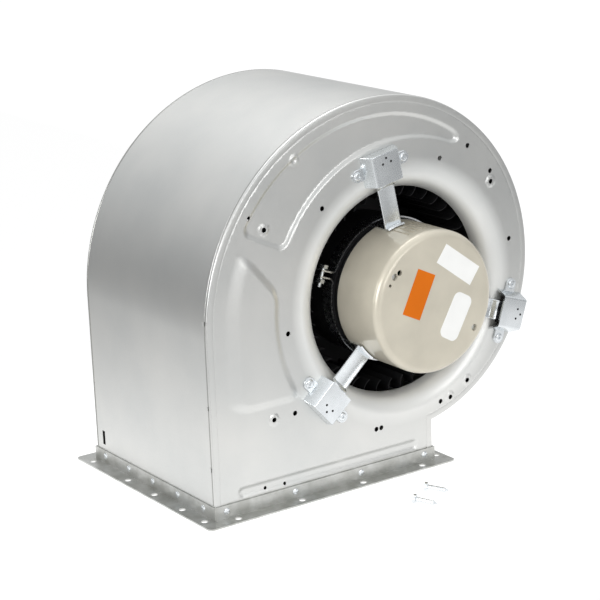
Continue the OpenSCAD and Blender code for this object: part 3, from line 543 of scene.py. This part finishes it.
def plate_lift(p):
    """Height of the pressed shape of a side plate at points (x, z)."""
    q = p - SHAFT
    r, a = np.hypot(q[:, 0], q[:, 1]), np.arctan2(q[:, 1], q[:, 0])
    edge = inside(p)

    def wedge(span):
        start, end = np.radians(span)
        return np.minimum(r * np.sin(a - start), r * np.sin(end - a))

    # crisp edges, but a soft one along the left
    top = both(both(edge - TOP_INSET, r - BELL_R - PANEL_ROOM, 8), 0.8 * wedge(TOP_PANEL), 8)
    left = both(0.5 * (edge - LEFT_INSET - 3), r - BELL_R - PANEL_ROOM + PANEL_H, 8)
    left = both(both(left, p[:, 1] - PANEL_LOW, 10), (p - LEFT_TOP[0]) @ LEFT_TOP[1], 8)
    along = np.clip(p[:, 0], *GROOVE_ENDS)
    groove = GROOVE_R - np.hypot(p[:, 0] - along, p[:, 1] - GROOVE_Z)
    lift = PANEL_H * (-ease(top / 5 + 0.5) + ease(left / 9 + 0.5)) - 1.4 * ease(groove / 6 + 0.5)
    for i in RINGED:
        far = np.hypot(*(p - about_shaft(BELL_R + SINGLES[i][0], SINGLES[i][1])).T)
        lift += 0.7 * ease((6.5 - far) / 2) - (i == BLIND) * 0.9 * ease((3.4 - far) / 1.6)
    return lift - JOGGLE * (1 - ease((edge - CREASES[0]) / (CREASES[1] - CREASES[0])))


def side_plate(name, node, side, foot_holes):
    rim = outline(SEAM - 2)
    base = np.arange(rim[-1, 0] - STEP, rim[0, 0], -STEP)
    outer = np.concatenate([rim, np.stack([base, np.zeros_like(base)], axis=1)])
    holes = [circle(SHAFT, BELL_R, 240)]
    holes += [circle(about_shaft(BELL_R + RING_OUT, arm + RING_TURN), HOLE_R, 20) for arm in ARMS]
    holes += [circle(about_shaft(BELL_R + out, turn), HOLE_R, 20)
              for i, (out, turn) in enumerate(SINGLES) if i != BLIND]
    holes += [circle(p, 1.8, 16) for p in GROOVE_HOLES]
    if foot_holes:
        for arm in ARMS:
            foot = on_plate(arm, FOOT_U, np.array([-FOOT_V, FOOT_V]), 0)[:, [0, 2]]
            holes += [circle(f, 2.4, 16) for f in foot]
    flat, faces, loops = cut_sheet(outer, holes, 2.1, [outline(inset)[2:-2] for inset in CREASES])
    lift = plate_lift(flat)
    d = 0.4
    slope = np.stack([plate_lift(flat + (d, 0)) - plate_lift(flat - (d, 0)),
                      plate_lift(flat + (0, d)) - plate_lift(flat - (0, d))], axis=1) / (2 * d)
    verts = np.stack([flat[:, 0], side * (HALF_W + lift), flat[:, 1]], axis=1)
    normals = np.stack([-slope[:, 0], np.full(len(flat), float(side)), -slope[:, 1]], axis=1)
    ring, turns = loops[1], np.linspace(0, 2 * math.pi, 240, endpoint=False)
    rows = [ring]
    for phi in np.radians(np.arange(6, 91, 6)):
        rows.append(list(range(len(verts), len(verts) + 240)))
        r = BELL_R - BELL_CURVE * math.sin(phi)
        depth = HALF_W - BELL_CURVE * (1 - math.cos(phi))
        verts = np.concatenate([verts, np.stack([SHAFT[0] + r * np.cos(turns), np.full(240, side * depth),
                                                 SHAFT[1] + r * np.sin(turns)], axis=1)])
        normals = np.concatenate([normals, np.stack([-math.sin(phi) * np.cos(turns),
                                                     np.full(240, side * math.cos(phi)),
                                                     -math.sin(phi) * np.sin(turns)], axis=1)])
    normals /= np.linalg.norm(normals, axis=1, keepdims=True)
    for outside, inner in zip(rows, rows[1:]):
        faces += [[outside[i], inner[i], inner[(i + 1) % 240], outside[(i + 1) % 240]] for i in range(240)]
    # every face is turned to look out of the plate
    first = np.array([verts[f[:3]] for f in faces])
    facing = np.cross(first[:, 1] - first[:, 0], first[:, 2] - first[:, 0])
    outward = (facing * normals[[f[0] for f in faces]]).sum(axis=1) > 0
    faces = [f if good else f[::-1] for f, good in zip(faces, outward)]
    shelled, all_faces = shell(verts, faces, normals, SHEET)
    return add_mesh(name, shelled, all_faces, "galvanised", (node,),
                    normals=np.concatenate([normals, -normals]))


side_plate("front_plate", "motor_side_plate", -1, True)
side_plate("rear_plate", "rear_side_plate", 1, False)


# ---- scroll wrap with its seams folded over the side plates ----
SLIT_Y, SLIT_Z = (97.0, 102.0), (20.0, 35.0)


def wrap():
    corner = 1.7
    bend = [(corner - corner * math.sin(t), -HALF_W + corner - corner * math.cos(t))
            for t in np.radians(np.arange(0, 91, 15))]
    lip = [(SEAM, -HALF_W + 0.6), (SEAM - 0.15, -HALF_W + 0.15), (SEAM - 0.6, -HALF_W), (4.5, -HALF_W)]
    crimp = [(inset, y - HALF_W) for inset, y in zip((0.0, CRIMP_DEPTH, CRIMP_DEPTH, 0.0), CRIMP)]
    half = lip + bend + crimp
    flat = [y for y in np.linspace(-HALF_W + 4.5, HALF_W - 4.5, 40)
            if min(abs(y - SLIT_Y[0]), abs(y - SLIT_Y[1])) > 2] + list(SLIT_Y)
    profile = half + [(0.0, y) for y in sorted(flat)] + [(n, -y) for n, y in half[::-1]]
    lines = [outline(n) for n, _ in profile]
    grid = np.array([np.stack([line[:, 0], np.full(len(line), y), line[:, 1]], axis=1)
                     for line, (_, y) in zip(lines, profile)])
    normals = grid_normals(grid)
    faces = grid_faces(*grid.shape[:2])
    flat_points = grid.reshape(-1, 3)
    middle = np.array([flat_points[f].mean(axis=0) for f in faces])
    hole = ((middle[:, 0] < -NECK + 1) & (middle[:, 1] > SLIT_Y[0]) & (middle[:, 1] < SLIT_Y[1])
            & (middle[:, 2] > SLIT_Z[0]) & (middle[:, 2] < SLIT_Z[1]))
    faces = [f for f, gone in zip(faces, hole) if not gone]
    verts, all_faces = shell(flat_points, faces, normals.reshape(-1, 3), SHEET)
    return add_mesh("wrap", verts, all_faces, "wrap_sheet", ("scroll_wrap",), smooth=30)


wrap()


# ---- motor mounting: arms, brackets, isolators and their rivets ----
ARM_W, ARM_T, ARM_LIFT, ARM_STEP = 20.0, 2.0, 2.0, 5.0
BRACKET_IN, BRACKET_L, BRACKET_TOP, BRACKET_W, BRACKET_T = BELL_R - 5, 31.0, 14.0, 32.0, 2.0
TONGUE_END = BRACKET_IN + BRACKET_L - 6
SADDLE_FRONT, SADDLE_REAR = -HALF_W - 9, band_high[1]
DIMPLES = ((21, -5), (21, 5), (26, 0))
BAND_T, BAND_ANGLE = 1.5, 160.0
# half the gap between the band's ears, the radius of their bends, and their reach past the motor
EAR_GAP, EAR_BEND, EAR_REACH = 4.0, 3.5, 18.0


def arm(name, angle):
    piece = Build()
    w = ARM_W / 2
    # strap: raised bright edges beside a shallow channel
    section = np.array([(-w, 0), (-w, 1.5), (-w + 0.6, ARM_T), (-w + 1.8, ARM_T), (-w + 3.2, 1.3),
                        (w - 3.2, 1.3), (w - 1.8, ARM_T), (w - 0.6, ARM_T), (w, 1.5), (w, 0)])
    path = rounded([(MOTOR_R + 0.8, ARM_LIFT), (BRACKET_IN - 5.5, ARM_LIFT),
                    (BRACKET_IN - 2.5, ARM_LIFT + ARM_STEP), (TONGUE_END, ARM_LIFT + ARM_STEP)], 2.5, 5)
    along = np.gradient(path, axis=0)
    along /= np.linalg.norm(along, axis=1, keepdims=True)
    piece.add(*sweep(section, range(len(path)), lambda v, h, i: on_plate(
        angle, path[i, 0] - along[i, 1] * h, v, path[i, 1] + along[i, 0] * h)))
    # saddle: a strip bent round the motor, its front edge flared a little
    half = math.asin(w / (MOTOR_R + ARM_T))
    turns = np.linspace(-half, half, 13)
    flare = rounded([(SADDLE_FRONT, 1.2), (SADDLE_FRONT + 4, 0.0), (SADDLE_REAR, 0.0)], 4, 4)
    section = ribbon(flare, ARM_T)
    a = math.radians(angle)

    def around(y, out, turn):
        radius = MOTOR_R + out
        x, z = SHAFT[0] + radius * np.cos(a + turn), SHAFT[1] + radius * np.sin(a + turn)
        return np.stack([x, y, z], axis=-1)

    piece.add(*sweep(section, turns, around))
    piece.make(name, "zinc", (name,))


def bracket(name, angle):
    piece = Build()
    place = lambda v, lift, u: on_plate(angle, u, v, lift)
    foot = FOOT_V - FOOT_R
    half = BRACKET_W / 2
    hat = rounded([(-foot + 0.4, 0), (-half, BRACKET_TOP), (half, BRACKET_TOP), (foot - 0.4, 0)], 2.6, 5)
    end = BRACKET_IN + BRACKET_L
    piece.add(*sweep(ribbon(hat, -BRACKET_T), (BRACKET_IN, end - 0.5), place))
    wall = rounded([(-foot + 0.8, 0.1), (-half + 0.4, BRACKET_TOP - 0.2),
                    (half - 0.4, BRACKET_TOP - 0.2), (foot - 0.8, 0.1)], 2.4, 5)
    piece.add(*pad(wall, end - BRACKET_T, end, 0.7, place))
    for side in (-1, 1):
        a = np.linspace(-math.pi / 2, math.pi / 2, 17)
        rim = np.stack([FOOT_U + FOOT_R * np.sin(a), side * (FOOT_V + FOOT_R * np.cos(a))], axis=1)
        rim = np.concatenate([rim, [(FOOT_U + s * FOOT_R, side * (foot - 1.8)) for s in (1, -1)]])
        piece.add(*pad(rim, 0.0, 2.0, 0.5, lambda u, v, lift: on_plate(angle, u, v, lift)))
    piece.make(name, "zinc", (name,))
    # dark discs stand for holes in the bracket's top: the black of the rubber beneath, and painted shade
    marks = Build()
    for u, v in DIMPLES:
        rim, faces = lathe([(1.25, -0.15), (1.25, 0.03), (0.02, 0.03)], 16)
        spot = on_plate(angle, BRACKET_IN + u + rim[:, 0], v + rim[:, 1], BRACKET_TOP + rim[:, 2])
        marks.add(spot, faces)
    marks.make(name + "_holes", "dark_paint")


def isolator(name, angle):
    u0, u1, v = BRACKET_IN + 6, BRACKET_IN + BRACKET_L - BRACKET_T, BRACKET_W / 2 - 2
    corner = rounded([(u0, 0), (u0, v), (u1, v), (u1, -v), (u0, -v), (u0, 0)], 2.5, 5)[:-1]
    piece = Build()
    place = lambda u, v, lift: on_plate(angle, u, v, lift)
    piece.add(*pad(corner, 0.0, ARM_LIFT + ARM_STEP - 0.1, 0.9, place))
    piece.add(*pad(corner, ARM_LIFT + ARM_STEP + ARM_T * 0.6, BRACKET_TOP - 2.0, 0.9, place))
    piece.add(*pad((corner - corner.mean(0)) * 0.93 + corner.mean(0), 3.0, BRACKET_TOP - 3.5, 0.5, place))
    piece.make(name, "rubber", (name,))


def band(angle):
    """Clamping band: a strip round the motor whose ends curve out into two ears."""
    r, a = MOTOR_R + ARM_T + 0.1, math.radians(angle)
    rise = EAR_GAP + EAR_BEND
    centre = np.array([math.sqrt((r + EAR_BEND) ** 2 - rise ** 2), rise])
    start = math.atan2(centre[1], centre[0])
    turns = np.linspace(math.pi, start, 90)
    bend = np.linspace(start - math.pi, -math.pi / 2, 8)
    half = np.concatenate([r * np.stack([np.cos(turns), np.sin(turns)], axis=1),
                           centre + EAR_BEND * np.stack([np.cos(bend), np.sin(bend)], axis=1)[1:],
                           [(MOTOR_R + EAR_REACH, EAR_GAP)]])
    path = np.concatenate([half[::-1], half[1:] * (1, -1)])
    piece = Build()
    piece.add(*sweep(ribbon(path, BAND_T), (band_low[1], band_high[1]), lambda u, v, y: np.stack(
        [SHAFT[0] + u * math.cos(a) - v * math.sin(a), y + 0 * u,
         SHAFT[1] + u * math.sin(a) + v * math.cos(a)], axis=-1)))
    piece.make("band", "band_steel", ("clamping_band",))


def hollow_rivet():
    return lathe([(1.4, -1.0), (1.4, 0.9), (1.7, 1.25), (2.6, 1.3),
                  (3.6, 1.1), (4.3, 0.6), (4.5, 0.15), (4.5, 0)], 24)


band(BAND_ANGLE)
rivets = Build()
for tag, angle in zip(("top", "lower", "right"), ARMS):
    arm("arm_" + tag, angle)
    bracket("bracket_" + tag, angle)
    isolator("isolator_" + tag, angle)
    for side in (-1, 1):
        verts, faces = hollow_rivet()
        head = on_plate(angle, FOOT_U + verts[:, 0], side * FOOT_V + verts[:, 1], 2.0 + verts[:, 2])
        rivets.add(head, faces)
rivets.make("foot_rivets", "zinc", ("bracket_rivets",))


# ---- domed rivets of the flange legs ----
domes = Build()
dome = [(2.0, -3.0), (2.0, 0.0), (3.4, 0.0), (3.3, 0.35), (2.7, 0.7), (1.7, 0.88), (0.6, 0.9), (0.02, 0.9)]
for side in (-1, 1):
    for i in range(-2, 3):
        verts, faces = lathe(dome, 20)
        domes.add(frame_at(verts, (side * (NECK + 1.5), 48.0 * i, 9), (side, 0, 0)), faces)
    for i in (-3, -1, 1, 3):
        verts, faces = lathe(dome, 20)
        domes.add(frame_at(verts, (i / 3 * (NECK - 12), side * (HALF_W + 1.5), 9), (0, side, 0)), faces)
domes.make("leg_rivets", "zinc", ("flange_rivets",))


# ---- stage, lights and camera ----
# glow of the floor: near the blower, at its front and back, and added on the right behind
FLOOR_NEAR, FLOOR_FRONT, FLOOR_BACK, FLOOR_RIGHT = 1.0, 0.42, 0.36, 0.7
# light of the room: low, high, and added in front
SKY_LOW, SKY_HIGH, SKY_FRONT = 0.36, 1.3, 0.0


def lit_floor(name, size, height, dark):
    """A floor square; the wide one glows white, brightest near the blower and towards the front; the dark
    one is a painted shadow inside the housing.
    """
    mesh = bpy.data.meshes.new(name)
    w, d = size
    mesh.from_pydata([(-w, -d, 0), (w, -d, 0), (w, d, 0), (-w, d, 0)], [], [(0, 1, 2, 3)])
    floor = bpy.data.objects.new(name, mesh)
    floor.location.z = height
    bpy.context.scene.collection.objects.link(floor)
    material = bpy.data.materials.new(name + "_look")
    material.use_nodes = True
    nodes, links = material.node_tree.nodes, material.node_tree.links
    nodes.clear()
    out = nodes.new("ShaderNodeOutputMaterial")
    diffuse = nodes.new("ShaderNodeBsdfDiffuse")
    diffuse.inputs["Color"].default_value = (0.03, 0.03, 0.03, 1) if dark else (0.8, 0.8, 0.8, 1)
    if dark:
        links.new(diffuse.outputs[0], out.inputs["Surface"])
    else:
        path = nodes.new("ShaderNodeLightPath")
        coords = nodes.new("ShaderNodeTexCoord").outputs["Object"]
        far = chain(nodes, links, "ShaderNodeVectorMath", "LENGTH", coords).outputs["Value"]
        near = math_node(nodes, links, "POWER", 2.718, math_node(
            nodes, links, "MULTIPLY", math_node(nodes, links, "POWER", far, 2.0), -2.2))
        split = nodes.new("ShaderNodeSeparateXYZ")
        links.new(coords, split.inputs[0])
        ahead = spread(nodes, links, split.outputs["Y"], FLOOR_FRONT, FLOOR_BACK, -0.7, 0.7)
        level = math_node(nodes, links, "ADD",
                          math_node(nodes, links, "MULTIPLY", near, FLOOR_NEAR), ahead)
        aside = math_node(nodes, links, "MULTIPLY",
                          spread(nodes, links, split.outputs["X"], 0, FLOOR_RIGHT, 0.3, 0.8),
                          spread(nodes, links, split.outputs["Y"], 0, 1, -0.7, -0.2))
        level = math_node(nodes, links, "ADD", level, aside)
        level = math_node(nodes, links, "MAXIMUM", level, path.outputs["Is Camera Ray"])
        glow = nodes.new("ShaderNodeEmission")
        links.new(level, glow.inputs["Strength"])
        seen = math_node(nodes, links, "MAXIMUM",
                         path.outputs["Is Camera Ray"], path.outputs["Is Glossy Ray"])
        mix = nodes.new("ShaderNodeMixShader")
        links.new(math_node(nodes, links, "MULTIPLY", seen, 0.94), mix.inputs["Fac"])
        links.new(diffuse.outputs[0], mix.inputs[1])
        links.new(glow.outputs[0], mix.inputs[2])
        links.new(mix.outputs[0], out.inputs["Surface"])
    mesh.materials.append(material)


def studio_world():
    world = bpy.data.worlds.new("studio")
    bpy.context.scene.world = world
    world.use_nodes = True
    nodes, links = world.node_tree.nodes, world.node_tree.links
    room = nodes["Background"]
    split = nodes.new("ShaderNodeSeparateXYZ")
    links.new(nodes.new("ShaderNodeTexCoord").outputs["Generated"], split.inputs[0])
    height = spread(nodes, links, split.outputs["Z"], SKY_LOW, SKY_HIGH, 0.0, 1.0)
    front = spread(nodes, links, split.outputs["Y"], SKY_FRONT, 0.0, -1.0, 0.2)
    room.inputs["Color"].default_value = (0.98, 0.99, 1.0, 1)
    links.new(math_node(nodes, links, "ADD", height, front), room.inputs["Strength"])
    white = nodes.new("ShaderNodeBackground")
    mix = nodes.new("ShaderNodeMixShader")
    white.inputs["Color"].default_value = (1, 1, 1, 1)
    links.new(nodes.new("ShaderNodeLightPath").outputs["Is Camera Ray"], mix.inputs["Fac"])
    links.new(room.outputs[0], mix.inputs[1])
    links.new(white.outputs[0], mix.inputs[2])
    links.new(mix.outputs[0], nodes["World Output"].inputs["Surface"])


def softbox(name, place, size, power):
    light = bpy.data.lights.new(name, "AREA")
    light.shape = "RECTANGLE"
    light.size, light.size_y = size
    light.energy = power
    lamp = bpy.data.objects.new(name, light)
    lamp.location = place
    lamp.rotation_euler = (Vector((0.05, 0, 0.2)) - Vector(place)).to_track_quat("-Z", "Y").to_euler()
    bpy.context.scene.collection.objects.link(lamp)


bpy.context.scene.view_settings.view_transform = "Standard"
lit_floor("floor", (6, 6), cad_box[0][2] - 0.0004, dark=False)
# painted shadow: a dark square on the floor inside the flange, where the housing shades it
lit_floor("painted_shadow_floor", (NECK * 0.97 * MM, HALF_W * 0.97 * MM), cad_box[0][2] - 0.0002, dark=True)
studio_world()
softbox("top_light", (0.1, 0.6, 2.2), (1.6, 1.2), 18)
softbox("left_light", (-2.2, -0.9, 0.8), (1.0, 1.0), 22)
softbox("front_light", (0.3, -2.2, 0.5), (1.4, 0.7), 8)

camera = bpy.data.objects.new("camera", bpy.data.cameras.new("camera"))
camera.data.sensor_width = 36
camera.data.lens = 118.6
camera.location = (-1.0566, -1.6357, 0.7131)
camera.rotation_euler = Euler([math.radians(a) for a in (74.435, 2.196, -34.779)])
camera.data.clip_end = 50
bpy.context.scene.collection.objects.link(camera)
bpy.context.scene.camera = camera
